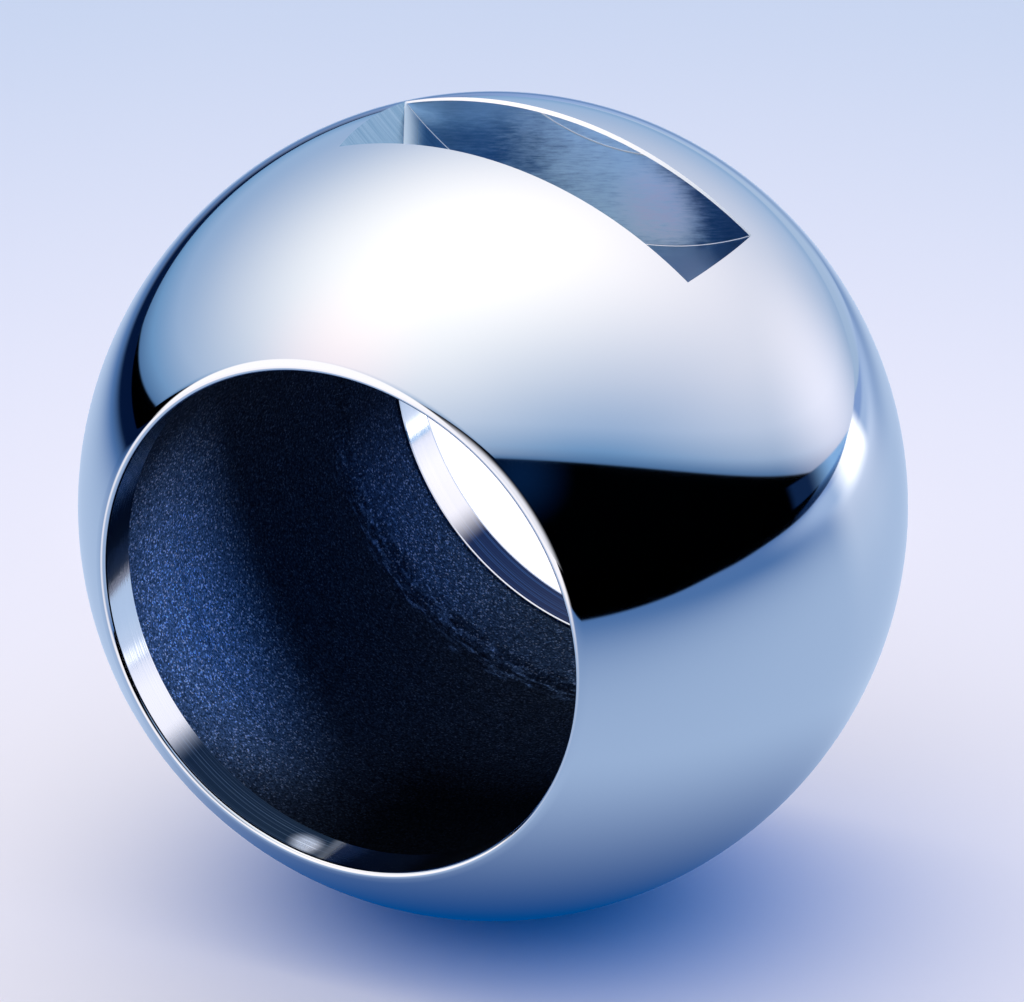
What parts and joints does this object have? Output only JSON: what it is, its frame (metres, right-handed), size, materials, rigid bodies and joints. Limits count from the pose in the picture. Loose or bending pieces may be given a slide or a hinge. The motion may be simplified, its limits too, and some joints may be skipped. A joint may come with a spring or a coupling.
{
  "type": "valve ball",
  "caption": "Mirror-polished steel valve ball with a through flow bore and a stem slot across its top, turned by the stem to open or shut a valve.",
  "frame": {"origin": "centre of the sphere, midway along the flow bore", "axes": "+Y along the flow bore, +Z along the stem axis out of the stem slot, X along the length of the slot"},
  "size_m": [0.08, 0.0606, 0.0794],
  "materials": {
    "valve_ball": "polished"
  },
  "bodies": {
    "root": {"valve_ball": "valve_ball"}
  },
  "joints": []
}
